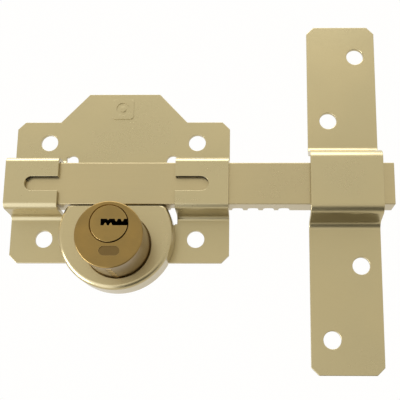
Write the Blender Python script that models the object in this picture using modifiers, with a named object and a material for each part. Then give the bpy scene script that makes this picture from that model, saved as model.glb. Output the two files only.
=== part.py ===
"""Surface-mounted sliding bolt lock with a keyed cylinder and a separate strap keeper.

World frame: metres, +X from the case toward the keeper, +Y into the door, +Z up.
The door face is the plane y = 0 and the bolt's centre line is z = 0.
Shapes are drawn face on: x across, z up, and h, the height above the door face, which is -y.
"""

import math

import bmesh
import bpy
from mathutils import Matrix, Vector

MM = 0.001

# Case plate: pressed steel sheet with two raised bridges that guide the bolt
SHEET = 2.0
PLATE_HALF_WIDTH = 54.0
CROWN_TOP = 51.3
CROWN_HALF_WIDTH = 18.0
CROWN_FOOT_HALF_WIDTH = 32.2
TAB_TOP = 36.1
TAB_BOTTOM = -37.0
CORNER_CUT = 3.8
FIXING_X = 37.5
FIXING_Z = 25.1
FIXING_RADIUS = 4.3
BRIDGE_INNER_X = 28.3
BRIDGE_RISE = 15.6
BRIDGE_MID_HALF = 11.9
BRIDGE_FOOT_MID_HALF = 12.7
BRIDGE_TOP_RADIUS = 2.0
BRIDGE_FOOT_RADIUS = 3.4
WINDOW_HALF = 17.4
SLOT_END_X = 44.4
SLOT_HALF = 3.6
SLOT_Z = -0.7
RELIEF_X = 25.3
RELIEF_HALF = 3.0
RELIEF_REACH = 18.3

# Generic raised badge on the crown
BADGE_X = -0.7
BADGE_Z = 43.2
BADGE_HALF = 5.4
BADGE_CORNER = 1.5
BADGE_HOLE = 3.4
BADGE_DOT = 1.5
BADGE_RISE = 0.35

# Bolt: rectangular bar with a rack milled in its rear lower edge
BAR_START = -52.0
BAR_END = 134.0
BAR_HALF = 10.5
BAR_BACK = 2.35
BAR_FRONT = 13.3
BAR_EDGE = 0.6
RACK_FIRST = -2.95
RACK_NOTCHES = 12
RACK_ROOT = 3.75
RACK_DEPTH = 6.2

# Keeper strap, bent into its own bridge
KEEPER_LEFT = 93.4
KEEPER_RIGHT = 128.4
KEEPER_TOP = 88.7
KEEPER_BOTTOM = -91.2
KEEPER_CUT = 3.7
KEEPER_HOLES = ((118.3, 72.1), (103.8, 36.8), (118.5, -38.3), (103.7, -74.4))
KEEPER_BRIDGE_Z = 1.1
KEEPER_RISE = 15.7
KEEPER_TOP_MID_HALF = 14.6
KEEPER_FOOT_MID_HALF = 17.6
KEEPER_TOP_RADIUS = 4.0
KEEPER_FOOT_RADIUS = 5.0

# Cylinder housing: deep cup with a flat top under the bolt
CUP_Z = -24.5
CUP_RADIUS = 27.5
CUP_TOP = -11.1
CUP_BACK = 0.3
CUP_SEAT = 2.3
CUP_SEAT_LOW = TAB_BOTTOM - 0.4
CUP_FRONT = 13.4
CUP_WALL = 2.0
CUP_CORNER = 2.5
CUP_EDGE = 2.3
POST_RING = 23.5
POST_ANGLES = (8, 172, 200, 340)
POST_RADIUS = 2.5
POST_HOLE = 1.55
POST_HOLE_TOP = 8.8
PAD_POINTS = ((-17.0, -17.4), (19.2, -17.4))
PAD_LOW = 9.0
PAD_HOLE = 1.45
PAD_HOLE_TOP = 11.0
PILLAR_TOP = CUP_FRONT - 1.2
PINION_WINDOW_HALF = 14.2
PINION_WINDOW_FRONT = 6.2
RETAINER_BACK = 7.5
RETAINER_FRONT = 8.7
RETAINER_GAP = 0.4

# Pin-tumbler cylinder with its plug above the middle of the body
AXIS_X = 1.5
PLUG_Z = -25.9
BODY_Z = -30.8
BODY_RADIUS = 15.4
BODY_BACK = 9.0
BODY_FRONT = 35.6
FLANGE_RADIUS = 17.0
FLANGE_TOP = 11.1
PLUG_RADIUS = 8.4
PLUG_GAP = 0.3
PLUG_BACK = 10.5
NECK_RADIUS = 5.5
NECK_BACK = 7.2
NECK_GROOVE = 4.7
WEB_TOP = 10.2
KEYWAY_LEFT = -3.6
KEYWAY_LOW = -0.95
KEYWAY_HIGH = 2.15
KEYWAY_BACK = 12.6
WARD_HALF = 0.75
WARD_HEIGHT = 1.15
WARDS_BELOW = (-1.4, 1.0)
WARDS_ABOVE = (3.4, 6.1)
PIN_HEIGHTS = (31.4, 27.2, 23.0, 18.8, 14.6)
PIN_RADIUS = 1.3
PIN_EDGE = 0.3
PIN_GAP = 0.55
DRIVER_LENGTH = 3.3
CAP_LENGTH = 1.7
CHAMBER_RADIUS = 1.6
SHEAR_Z = PLUG_Z - PLUG_RADIUS
CHAMBER_FLOOR = BODY_Z - BODY_RADIUS
SPRING_RADIUS = 1.05
SPRING_WIRE = 0.2
SPRING_TURNS = 4

# Drive: pinion turned by the plug's flat tail, meshing with the rack
TEETH = 14
PITCH_RADIUS = 17.0
PITCH = 2 * math.pi * PITCH_RADIUS / TEETH
PRESSURE = math.radians(25)
TOOTH_REACH = 1.65
TOOTH_ROOT = 2.0
BACKLASH = 0.35
PINION_BACK = 2.6
PINION_FRONT = 4.8
HUB_FRONT = 6.9
HUB_RADIUS = 6.5
JOURNAL_RADIUS = 5.7
JOURNAL_BACK = 0.5
TAIL_HALF_WIDTH = 3.8
TAIL_HALF_THICKNESS = 1.0
TAIL_BACK = 0.9
TAIL_FRONT = 10.0
TAIL_PIN_H = 9.5
TAIL_PIN_RADIUS = 0.65
TAIL_PIN_HOLE = 0.95
PLAY = 0.3
LOST_MOTION = 104
STOP_CLEARANCE = 24
TAIL_WAY = 4.25
HUB_WAIST = 2.65

FACE_ON = Matrix.Rotation(math.radians(90), 4, "X")
ALONG_X = Matrix(((0, 0, 1, 0), (0, -1, 0, 0), (1, 0, 0, 0), (0, 0, 0, 1)))

STEEL = ((0.70, 0.62, 0.42, 1), 0.9, 0.35)
BRASS = ((0.50, 0.38, 0.18, 1), 0.9, 0.35)
BARE = ((0.45, 0.45, 0.46, 1), 1.0, 0.40)


def place(x, z, h):
    """World position of a face-on point given in millimetres."""
    return Vector((x, -h, z)) * MM


def new_collection(name, hidden=False):
    collection = bpy.data.collections.new(name)
    bpy.context.scene.collection.children.link(collection)
    collection.hide_render = hidden
    return collection


def clear_scene():
    for obj in list(bpy.data.objects):
        bpy.data.objects.remove(obj, do_unlink=True)


def add_object(name, data, matrix, collection):
    obj = bpy.data.objects.new(name, data)
    obj.matrix_world = matrix
    collection.objects.link(obj)
    if collection is CUTTERS:
        obj.hide_render = True
        obj.display_type = "WIRE"
    return obj


def finish(obj, look, smooth=False):
    """Give a piece its own material, and smooth shading if it is round."""
    colour, metallic, roughness = look
    material = bpy.data.materials.new(obj.name + "_finish")
    material.use_nodes = True
    shader = material.node_tree.nodes["Principled BSDF"]
    shader.inputs["Base Color"].default_value = colour
    shader.inputs["Metallic"].default_value = metallic
    shader.inputs["Roughness"].default_value = roughness
    obj.data.materials.append(material)
    if smooth:
        for polygon in obj.data.polygons:
            polygon.use_smooth = True
    return obj


def flat_face(name, loops, depth=0, origin=(0, 0)):
    """Mesh filling closed loops, an outline and its holes, thickened by depth each way."""
    curve = bpy.data.curves.new(name, "CURVE")
    curve.dimensions = "2D"
    curve.fill_mode = "BOTH"
    curve.extrude = depth * MM
    for loop in loops:
        spline = curve.splines.new("POLY")
        spline.points.add(len(loop) - 1)
        for point, (x, z) in zip(spline.points, loop):
            point.co = ((x - origin[0]) * MM, (z - origin[1]) * MM, 0, 1)
        spline.use_cyclic_u = True
    drawn = bpy.data.objects.new(name + "_outline", curve)
    bpy.context.scene.collection.objects.link(drawn)
    graph = bpy.context.evaluated_depsgraph_get()
    mesh = bpy.data.meshes.new_from_object(drawn.evaluated_get(graph))
    bpy.data.objects.remove(drawn, do_unlink=True)
    return mesh


def outline_solid(name, loops, low, high, collection, matrix=FACE_ON, origin=(0, 0)):
    """Extrude closed loops from height low to height high."""
    mesh = flat_face(name, loops, (high - low) / 2, origin)
    work = bmesh.new()
    work.from_mesh(mesh)
    bmesh.ops.remove_doubles(work, verts=work.verts, dist=1e-7)
    bmesh.ops.beautify_fill(work, faces=work.faces, edges=work.edges)
    bmesh.ops.translate(work, verts=work.verts, vec=(0, 0, (high + low) / 2 * MM))
    bmesh.ops.recalc_face_normals(work, faces=work.faces)
    work.to_mesh(mesh)
    work.free()
    at = Matrix.Translation(place(origin[0], origin[1], 0))
    return add_object(name, mesh, at @ matrix, collection)


def turned(name, profile, collection, centre, segments=64, matrix=FACE_ON):
    """Revolve (radius, height) points around the axis through the face-on point centre."""
    mesh = bpy.data.meshes.new(name)
    work = bmesh.new()
    verts = [work.verts.new((radius * MM, 0, height * MM)) for radius, height in profile]
    for first, second in zip(verts, verts[1:]):
        work.edges.new((first, second))
    work.to_mesh(mesh)
    work.free()
    obj = add_object(name, mesh, Matrix.Translation(place(centre[0], centre[1], 0)) @ matrix, collection)
    screw = obj.modifiers.new("turn", "SCREW")
    screw.axis = "Z"
    screw.steps = segments
    screw.render_steps = segments
    screw.use_merge_vertices = True
    screw.merge_threshold = 1e-6
    return obj


def loft(name, rings, collection):
    """Close a run of equal world-space rings, in millimetres, into one solid."""
    mesh = bpy.data.meshes.new(name)
    work = bmesh.new()
    rows = [[work.verts.new(Vector(point) * MM) for point in ring] for ring in rings]
    for near, far in zip(rows, rows[1:]):
        for i in range(len(near)):
            j = (i + 1) % len(near)
            work.faces.new((near[i], near[j], far[j], far[i]))
    work.faces.new(rows[0])
    work.faces.new(rows[-1])
    bmesh.ops.recalc_face_normals(work, faces=work.faces)
    work.to_mesh(mesh)
    work.free()
    return add_object(name, mesh, Matrix.Identity(4), collection)


def boolean(target, tool, operation="DIFFERENCE"):
    modifier = target.modifiers.new(tool.name, "BOOLEAN")
    modifier.operation = operation
    modifier.solver = "EXACT"
    modifier.object = tool


def arc(x, z, radius, start, end, steps):
    points = []
    for i in range(steps + 1):
        angle = math.radians(start + (end - start) * i / steps)
        points.append((x + radius * math.cos(angle), z + radius * math.sin(angle)))
    return points


def circle(x, z, radius, steps=32):
    return arc(x, z, radius, 0, 360 - 360 / steps, steps - 1)


def box_outline(x, z, half_width, half_height):
    return [
        (x - half_width, z - half_height),
        (x + half_width, z - half_height),
        (x + half_width, z + half_height),
        (x - half_width, z + half_height),
    ]


def cylinder_cutter(name, x, z, radius, low, high, steps=32):
    return outline_solid(name, [circle(x, z, radius, steps)], low, high, CUTTERS)


def rounded(points, radii, steps, closed):
    """Replace each corner of a path by an arc of its radius."""
    path = []
    count = len(points)
    for i, radius in enumerate(radii):
        here = Vector(points[i])
        if not radius or (not closed and i in (0, count - 1)):
            path.append(tuple(here))
            continue
        to_last = (Vector(points[i - 1]) - here).normalized()
        to_next = (Vector(points[(i + 1) % count]) - here).normalized()
        half = to_last.angle(to_next) / 2
        centre = here + (to_last + to_next).normalized() * radius / math.sin(half)
        start = here + to_last * radius / math.tan(half) - centre
        end = here + to_next * radius / math.tan(half) - centre
        turn = start.angle_signed(end)
        for k in range(steps + 1):
            spin = Matrix.Rotation(-turn * k / steps, 2)
            path.append(tuple(centre + spin @ start))
    return path


def bent_sheet(points, radii, thickness, steps):
    """Outline of a bent sheet whose middle runs along the rounded path."""
    middle = [Vector(point) for point in rounded(points, radii, steps, False)]
    left = []
    right = []
    for i, point in enumerate(middle):
        ahead = middle[min(i + 1, len(middle) - 1)] - point
        behind = point - middle[max(i - 1, 0)]
        along = Vector((0, 0))
        if ahead.length:
            along += ahead.normalized()
        if behind.length:
            along += behind.normalized()
        along.normalize()
        straight = ahead.normalized() if ahead.length else behind.normalized()
        offset = Vector((-along.y, along.x)) * thickness / 2 / max(along.dot(straight), 0.5)
        left.append(tuple(point + offset))
        right.append(tuple(point - offset))
    return left + right[::-1]


def bridge_path(middle_z, top_half, foot_half, ends, rise, top_radius, foot_radius):
    """Middle line of a raised bridge's sheet, drawn as z across and height up."""
    low = SHEET / 2
    high = rise - SHEET / 2
    points = [
        (ends[0], low),
        (middle_z - foot_half, low),
        (middle_z - top_half, high),
        (middle_z + top_half, high),
        (middle_z + foot_half, low),
        (ends[1], low),
    ]
    return points, (0, foot_radius, top_radius, top_radius, foot_radius, 0)


def bent_plate(loops):
    """Case plate as one bent surface, flat loops plus two bridges, thickened to the sheet."""
    work = bmesh.new()
    work.from_mesh(flat_face("case_plate_face", loops))
    bmesh.ops.remove_doubles(work, verts=work.verts, dist=1e-7)
    bmesh.ops.beautify_fill(work, faces=work.faces, edges=work.edges)
    bmesh.ops.translate(work, verts=work.verts, vec=(0, 0, SHEET / 2 * MM))
    ends = (-WINDOW_HALF, WINDOW_HALF)
    path, radii = bridge_path(
        0,
        BRIDGE_MID_HALF,
        BRIDGE_FOOT_MID_HALF,
        ends,
        BRIDGE_RISE,
        BRIDGE_TOP_RADIUS,
        BRIDGE_FOOT_RADIUS,
    )
    middle = rounded(path, radii, 6, False)
    for side in (-1, 1):
        rows = []
        for z, h in middle:
            xs = (side * BRIDGE_INNER_X, side * PLATE_HALF_WIDTH)
            rows.append([work.verts.new(Vector((x, z, h)) * MM) for x in xs])
        for low, high in zip(rows, rows[1:]):
            work.faces.new((low[0], low[1], high[1], high[0]))
    bmesh.ops.remove_doubles(work, verts=work.verts, dist=1e-6)
    bmesh.ops.recalc_face_normals(work, faces=work.faces)
    mesh = bpy.data.meshes.new("case_plate")
    work.to_mesh(mesh)
    work.free()
    plate = add_object("case_plate", mesh, FACE_ON, PARTS)
    thicken = plate.modifiers.new("sheet", "SOLIDIFY")
    thicken.thickness = SHEET * MM
    thicken.offset = 0
    thicken.use_even_offset = True
    return plate


def relief_arc(side):
    """Rounded relief slot beside a bridge, from the bridge's upper foot round to its lower foot."""
    reach = RELIEF_REACH - RELIEF_HALF
    near = math.degrees(math.asin((WINDOW_HALF - reach) / RELIEF_HALF))
    upper = arc(RELIEF_X, reach, RELIEF_HALF, near, 180, 10)
    lower = arc(RELIEF_X, -reach, RELIEF_HALF, 180, 360 - near, 10)
    return [(side * x, z) for x, z in upper + lower]


def half_outline(side):
    """One side of the case plate, from its crown down to its lower edge."""
    points = [
        (CROWN_HALF_WIDTH, CROWN_TOP),
        (CROWN_FOOT_HALF_WIDTH, TAB_TOP),
        (PLATE_HALF_WIDTH - CORNER_CUT, TAB_TOP),
        (PLATE_HALF_WIDTH, TAB_TOP - CORNER_CUT),
        (PLATE_HALF_WIDTH, WINDOW_HALF),
        (BRIDGE_INNER_X, WINDOW_HALF),
    ]
    lower = [
        (BRIDGE_INNER_X, -WINDOW_HALF),
        (PLATE_HALF_WIDTH, -WINDOW_HALF),
        (PLATE_HALF_WIDTH, TAB_BOTTOM + CORNER_CUT),
        (PLATE_HALF_WIDTH - CORNER_CUT, TAB_BOTTOM),
    ]
    points = [(side * x, z) for x, z in points]
    return points + relief_arc(side) + [(side * x, z) for x, z in lower]


def build_case_plate():
    outline = half_outline(1) + half_outline(-1)[::-1]
    loops = [outline, circle(AXIS_X, PLUG_Z, JOURNAL_RADIUS + 0.3)]
    for side in (-1, 1):
        for z in (-FIXING_Z, FIXING_Z):
            loops.append(circle(side * FIXING_X, z, FIXING_RADIUS))
    plate = bent_plate(loops)
    square = box_outline(BADGE_X, BADGE_Z, BADGE_HALF, BADGE_HALF)
    badge = [rounded(square, (BADGE_CORNER,) * 4, 4, True), circle(BADGE_X, BADGE_Z, BADGE_HOLE, 24)]
    boolean(plate, outline_solid("badge_frame", badge, SHEET - 0.6, SHEET + BADGE_RISE, CUTTERS), "UNION")
    dot = cylinder_cutter("badge_dot", BADGE_X, BADGE_Z, BADGE_DOT, SHEET - 0.6, SHEET + BADGE_RISE, 24)
    boolean(plate, dot, "UNION")
    for side, name in ((-1, "left"), (1, "right")):
        inner = side * (BRIDGE_INNER_X - 4)
        end = side * (SLOT_END_X - SLOT_HALF)
        rim = arc(end, SLOT_Z, SLOT_HALF, -90, 90, 12)
        if side < 0:
            rim = arc(end, SLOT_Z, SLOT_HALF, 270, 90, 12)
        slot = [(inner, SLOT_Z - SLOT_HALF)] + rim + [(inner, SLOT_Z + SLOT_HALF)]
        cutter = outline_solid("slot_" + name, [slot], BRIDGE_RISE - 4, BRIDGE_RISE + 2, CUTTERS)
        boolean(plate, cutter)
    for i, (x, z) in enumerate(post_points(), 1):
        profile = [(0, 3), (1.7, 3), (1.7, 1.6), (4.2, -1), (0, -1)]
        sink = turned(f"countersink_{i}", profile, CUTTERS, (x, z), 24)
        boolean(plate, sink)
    return finish(plate, STEEL)


def post_points():
    points = []
    for angle in POST_ANGLES:
        turn = math.radians(angle)
        points.append((POST_RING * math.cos(turn), CUP_Z + POST_RING * math.sin(turn)))
    return points


def build_bolt():
    mesh = bpy.data.meshes.new("bolt_bar")
    work = bmesh.new()
    bmesh.ops.create_cube(work, size=1)
    size = Vector((BAR_END - BAR_START, BAR_FRONT - BAR_BACK, 2 * BAR_HALF)) * MM
    bmesh.ops.scale(work, verts=work.verts, vec=size)
    work.to_mesh(mesh)
    work.free()
    middle = place((BAR_START + BAR_END) / 2, 0, (BAR_BACK + BAR_FRONT) / 2)
    bar = add_object("bolt_bar", mesh, Matrix.Translation(middle), PARTS)
    bevel = bar.modifiers.new("edges", "BEVEL")
    bevel.width = BAR_EDGE * MM
    bevel.segments = 2
    mouth = PITCH / 2 + BACKLASH + 2 * (PITCH_RADIUS + PLUG_Z + BAR_HALF) * math.tan(PRESSURE)
    root = mouth - 2 * RACK_ROOT * math.tan(PRESSURE)
    extra = 1.0
    wide = mouth + 2 * extra * math.tan(PRESSURE)
    for i in range(RACK_NOTCHES):
        x = RACK_FIRST + i * PITCH
        rings = []
        for h, share in ((BAR_BACK - 1, 1), (5.2, 1), (5.9, 0.75), (RACK_DEPTH, 0.4)):
            rings.append(
                [
                    (x - wide / 2 * share, -h, -BAR_HALF - extra),
                    (x + wide / 2 * share, -h, -BAR_HALF - extra),
                    (x + root / 2 * share, -h, -BAR_HALF + RACK_ROOT),
                    (x - root / 2 * share, -h, -BAR_HALF + RACK_ROOT),
                ]
            )
        boolean(bar, loft(f"rack_notch_{i + 1}", rings, CUTTERS))
    return finish(bar, STEEL)


def build_keeper():
    path, radii = bridge_path(
        KEEPER_BRIDGE_Z,
        KEEPER_TOP_MID_HALF,
        KEEPER_FOOT_MID_HALF,
        (KEEPER_BOTTOM, KEEPER_TOP),
        KEEPER_RISE,
        KEEPER_TOP_RADIUS,
        KEEPER_FOOT_RADIUS,
    )
    section = bent_sheet(path, radii, SHEET, 6)
    strap = outline_solid("keeper_strap", [section], KEEPER_LEFT, KEEPER_RIGHT, PARTS, ALONG_X)
    for i, (x, z) in enumerate(KEEPER_HOLES, 1):
        boolean(strap, cylinder_cutter(f"keeper_hole_{i}", x, z, FIXING_RADIUS, -2, SHEET + 2))
    for x, along in ((KEEPER_LEFT, 1), (KEEPER_RIGHT, -1)):
        for z, up in ((KEEPER_BOTTOM, 1), (KEEPER_TOP, -1)):
            corner = [
                (x - along * 2, z - up * 2),
                (x + along * (KEEPER_CUT + 2), z - up * 2),
                (x - along * 2, z + up * (KEEPER_CUT + 2)),
            ]
            name = f"keeper_corner_{'l' if along > 0 else 'r'}{'b' if up > 0 else 't'}"
            boolean(strap, outline_solid(name, [corner], -2, SHEET + 2, CUTTERS))
    return finish(strap, STEEL)


def cup_outline(radius, top, corner):
    """Circle with a flat top, its two corners rounded."""
    rise = top - CUP_Z
    start = math.degrees(math.asin(rise / radius))
    points = arc(0, CUP_Z, radius, 180 - start, 360 + start, 44)
    radii = [corner] + [0] * (len(points) - 2) + [corner]
    return rounded(points, radii, 5, True)


def build_housing():
    levels = [(0.0, CUP_BACK)]
    for k in range(6):
        turn = math.radians(90) * k / 5
        inset = CUP_EDGE * (1 - math.cos(turn))
        levels.append((inset, CUP_FRONT - CUP_EDGE + CUP_EDGE * math.sin(turn)))
    rings = []
    for inset, h in levels:
        outline = cup_outline(CUP_RADIUS - inset, CUP_TOP - inset, CUP_CORNER)
        rings.append([(x, -h, z) for x, z in outline])
    cup = loft("cylinder_housing", rings, PARTS)
    inner = cup_outline(CUP_RADIUS - CUP_WALL, CUP_TOP - CUP_WALL, 0.8)
    boolean(cup, outline_solid("cup_cavity", [inner], CUP_BACK - 2, CUP_FRONT - CUP_WALL, CUTTERS))
    seat = [(-40, CUP_SEAT_LOW), (40, CUP_SEAT_LOW), (40, 0), (-40, 0)]
    boolean(cup, outline_solid("cup_seat", [seat], -2, CUP_SEAT, CUTTERS))
    boolean(cup, cylinder_cutter("cup_bore", AXIS_X, BODY_Z, BODY_RADIUS + 0.3, 8, 16, 64))
    window = box_outline(AXIS_X, CUP_TOP - 1, PINION_WINDOW_HALF, 4)
    boolean(cup, outline_solid("cup_pinion_window", [window], -2.5, PINION_WINDOW_FRONT, CUTTERS))
    for i, (x, z) in enumerate(post_points(), 1):
        post = cylinder_cutter(f"post_{i}", x, z, POST_RADIUS, CUP_SEAT + 0.2, PILLAR_TOP, 24)
        boolean(cup, post, "UNION")
        hole = cylinder_cutter(f"post_hole_{i}", x, z, POST_HOLE, CUP_SEAT - 2, POST_HOLE_TOP, 16)
        boolean(cup, hole)
    for i, (x, z) in enumerate(PAD_POINTS, 1):
        pad = cylinder_cutter(f"pad_{i}", x, z, POST_RADIUS, PAD_LOW, PILLAR_TOP, 24)
        boolean(cup, pad, "UNION")
        boolean(cup, cylinder_cutter(f"pad_hole_{i}", x, z, PAD_HOLE, PAD_LOW - 2, PAD_HOLE_TOP, 16))
    return finish(cup, STEEL)


def build_retaining_plate():
    inset = CUP_WALL + RETAINER_GAP
    outline = cup_outline(CUP_RADIUS - inset, CUP_TOP - inset, 1.0)
    loops = [outline, circle(AXIS_X, PLUG_Z, PLUG_RADIUS + PLUG_GAP, 32)]
    for x, z in PAD_POINTS:
        loops.append(circle(x, z, PAD_HOLE, 16))
    plate = outline_solid("retaining_plate", loops, RETAINER_BACK, RETAINER_FRONT, PARTS)
    for i, (x, z) in enumerate(post_points(), 1):
        clearance = POST_RADIUS + RETAINER_GAP
        boolean(plate, cylinder_cutter(f"post_clearance_{i}", x, z, clearance, 6, 10, 24))
    return finish(plate, BARE)


def build_screws():
    for i, (x, z) in enumerate(post_points(), 1):
        profile = [(0, 8.3), (0.8, 8.3), (1.2, 7.9), (1.2, 1.6), (2.6, 0.25), (0, 0.25)]
        screw = turned(f"housing_screw_{i}", profile, PARTS, (x, z), 24)
        slot = box_outline(x, z, 4, 0.4)
        boolean(screw, outline_solid(f"housing_screw_slot_{i}", [slot], -1, 0.8, CUTTERS))
        finish(screw, BARE)
    for i, (x, z) in enumerate(PAD_POINTS, 1):
        profile = [(0, 10.7), (0.8, 10.7), (1.1, 10.4), (1.1, 7.2)]
        profile += [(2.3, 7.2), (2.3, 6.4), (1.9, 6.0), (0, 6.0)]
        screw = turned(f"retaining_screw_{i}", profile, PARTS, (x, z), 24)
        slot = box_outline(x, z, 4, 0.35)
        boolean(screw, outline_solid(f"retaining_screw_slot_{i}", [slot], 5, 6.5, CUTTERS))
        finish(screw, BARE)


def build_cylinder_body():
    profile = [
        (0, BODY_FRONT),
        (BODY_RADIUS - 0.5, BODY_FRONT),
        (BODY_RADIUS, BODY_FRONT - 0.5),
        (BODY_RADIUS, FLANGE_TOP),
        (FLANGE_RADIUS, FLANGE_TOP),
        (FLANGE_RADIUS, BODY_BACK),
        (0, BODY_BACK),
    ]
    body = turned("cylinder_body", profile, PARTS, (AXIS_X, BODY_Z), 64)
    bore = [
        (0, BODY_FRONT + 2),
        (PLUG_RADIUS + PLUG_GAP, BODY_FRONT + 2),
        (PLUG_RADIUS + PLUG_GAP, WEB_TOP),
        (NECK_RADIUS + 0.3, WEB_TOP),
        (NECK_RADIUS + 0.3, BODY_BACK - 2),
        (0, BODY_BACK - 2),
    ]
    boolean(body, turned("plug_bore", bore, CUTTERS, (AXIS_X, PLUG_Z), 48))
    for i, h in enumerate(PIN_HEIGHTS, 1):
        chamber = upright(f"body_chamber_{i}", CHAMBER_RADIUS, CHAMBER_FLOOR - 1, PLUG_Z - 6, h, CUTTERS)
        boolean(body, chamber)
    return finish(body, BRASS)


def upright(name, radius, low, high, h, collection, edge=0.0):
    """Round pin standing on end in the cylinder, from height z = low to z = high."""
    if edge:
        corners = [(radius - edge, high), (radius, high - edge), (radius, low + edge), (radius - edge, low)]
    else:
        corners = [(radius, high), (radius, low)]
    profile = [(0, high)] + corners + [(0, low)]
    return turned(name, profile, collection, (AXIS_X, 0), 20, Matrix.Translation((0, -h * MM, 0)))


def keyway_outline():
    right = PLUG_RADIUS + 2
    points = [(KEYWAY_LEFT, KEYWAY_LOW)]
    for x in WARDS_BELOW:
        points += [
            (x - WARD_HALF, KEYWAY_LOW),
            (x, KEYWAY_LOW + WARD_HEIGHT),
            (x + WARD_HALF, KEYWAY_LOW),
        ]
    points += [(right, KEYWAY_LOW), (right, KEYWAY_HIGH)]
    for x in reversed(WARDS_ABOVE):
        points += [
            (x + WARD_HALF, KEYWAY_HIGH),
            (x, KEYWAY_HIGH - WARD_HEIGHT),
            (x - WARD_HALF, KEYWAY_HIGH),
        ]
    points.append((KEYWAY_LEFT, KEYWAY_HIGH))
    return [(AXIS_X + x, PLUG_Z + z) for x, z in points]


def build_plug():
    profile = [
        (0, BODY_FRONT),
        (PLUG_RADIUS - 0.4, BODY_FRONT),
        (PLUG_RADIUS, BODY_FRONT - 0.4),
        (PLUG_RADIUS, PLUG_BACK),
        (NECK_RADIUS, PLUG_BACK),
        (NECK_RADIUS, 8.95),
        (NECK_GROOVE, 8.95),
        (NECK_GROOVE, 7.65),
        (NECK_RADIUS, 7.65),
        (NECK_RADIUS, NECK_BACK),
        (0, NECK_BACK),
    ]
    plug = turned("cylinder_plug", profile, PARTS, (AXIS_X, PLUG_Z), 48)
    boolean(plug, outline_solid("keyway", [keyway_outline()], KEYWAY_BACK, BODY_FRONT + 2, CUTTERS))
    for i, h in enumerate(PIN_HEIGHTS, 1):
        top = PLUG_Z + KEYWAY_LOW + 0.5
        boolean(plug, upright(f"plug_chamber_{i}", CHAMBER_RADIUS, SHEAR_Z - 1, top, h, CUTTERS))
    slot = box_outline(AXIS_X, PLUG_Z, TAIL_HALF_THICKNESS + PLAY, TAIL_HALF_WIDTH + PLAY)
    boolean(plug, outline_solid("tail_slot", [slot], NECK_BACK - 2, TAIL_FRONT + PLAY, CUTTERS))
    boolean(plug, crosswise("tail_pin_hole", TAIL_PIN_HOLE, 8, CUTTERS))
    return finish(plug, BRASS)


def crosswise(name, radius, half_length, collection):
    """Round pin lying along X through the plug's neck."""
    loop = circle(PLUG_Z, TAIL_PIN_H, radius, 16)
    return outline_solid(name, [loop], AXIS_X - half_length, AXIS_X + half_length, collection, ALONG_X)


def build_plug_pieces():
    blade = box_outline(AXIS_X, PLUG_Z, TAIL_HALF_THICKNESS, TAIL_HALF_WIDTH)
    origin = (AXIS_X, PLUG_Z)
    tail = outline_solid("tail_bar", [blade], TAIL_BACK, TAIL_FRONT, PARTS, FACE_ON, origin)
    boolean(tail, crosswise("tail_bar_hole", TAIL_PIN_HOLE, 8, CUTTERS))
    finish(tail, BARE)
    pin = finish(crosswise("tail_pin", TAIL_PIN_RADIUS, NECK_RADIUS - 0.4, PARTS), BARE, True)
    ring = arc(AXIS_X, PLUG_Z, 7.0, 110, 430, 32) + arc(AXIS_X, PLUG_Z, 5.0, 430, 110, 32)
    clip = outline_solid("plug_clip", [ring], 7.95, 8.65, PARTS, FACE_ON, origin)
    return [tail, pin, finish(clip, BARE)]


def build_pins():
    """Five stacks below the plug: key pin, driver pin, spring and cap. Returns the key pins."""
    key_pins = []
    for i, h in enumerate(PIN_HEIGHTS, 1):
        top = PLUG_Z + KEYWAY_LOW - 0.4
        key_pin = upright(f"key_pin_{i}", PIN_RADIUS, SHEAR_Z + 0.25, top, h, PARTS, PIN_EDGE)
        key_pins.append(finish(key_pin, BRASS, True))
        driver_top = SHEAR_Z - PIN_GAP
        driver_low = driver_top - DRIVER_LENGTH
        driver = upright(f"driver_pin_{i}", PIN_RADIUS, driver_low, driver_top, h, PARTS, PIN_EDGE)
        finish(driver, BARE, True)
        cap_low = CHAMBER_FLOOR + 0.15
        cap_top = cap_low + CAP_LENGTH
        build_spring(i, h, driver_low - PIN_GAP, cap_top + PIN_GAP)
        finish(upright(f"chamber_cap_{i}", PIN_RADIUS, cap_low, cap_top, h, PARTS), BRASS, True)
    return key_pins


def build_spring(number, h, top, bottom):
    curve = bpy.data.curves.new(f"pin_spring_{number}", "CURVE")
    curve.dimensions = "3D"
    curve.bevel_depth = SPRING_WIRE * MM
    curve.bevel_resolution = 2
    curve.use_fill_caps = True
    steps = 10 * SPRING_TURNS
    spline = curve.splines.new("POLY")
    spline.points.add(steps)
    for k, point in enumerate(spline.points):
        angle = 2 * math.pi * k / 10
        x = AXIS_X + SPRING_RADIUS * math.cos(angle)
        z = bottom + (top - bottom) * k / steps
        y = -h + SPRING_RADIUS * math.sin(angle)
        point.co = (x * MM, y * MM, z * MM, 1)
    spring = bpy.data.objects.new(f"pin_spring_{number}", curve)
    PARTS.objects.link(spring)
    finish(spring, BARE)


def gear_outline():
    """Involute pinion, turned so that a tooth stands in each rack notch."""
    base = PITCH_RADIUS * math.cos(PRESSURE)
    tip = PITCH_RADIUS + TOOTH_REACH
    root = PITCH_RADIUS - TOOTH_ROOT
    involute = math.tan(PRESSURE) - PRESSURE
    half_tooth = (PITCH / 2 - BACKLASH) / 2 / PITCH_RADIUS + involute
    flank = []
    for k in range(5):
        radius = base + (tip - base) * k / 4
        press = math.acos(min(1, base / radius))
        flank.append((radius, half_tooth - (math.tan(press) - press)))
    flank.insert(0, (root, half_tooth + 0.01))
    phase = math.pi / 2 + (AXIS_X - RACK_FIRST) / PITCH_RADIUS
    points = []
    for tooth in range(TEETH):
        middle = phase + tooth * 2 * math.pi / TEETH
        for radius, half in flank:
            points.append((radius, middle - half))
        for radius, half in reversed(flank):
            points.append((radius, middle + half))
    return [(AXIS_X + r * math.cos(a), PLUG_Z + r * math.sin(a)) for r, a in points]


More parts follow.
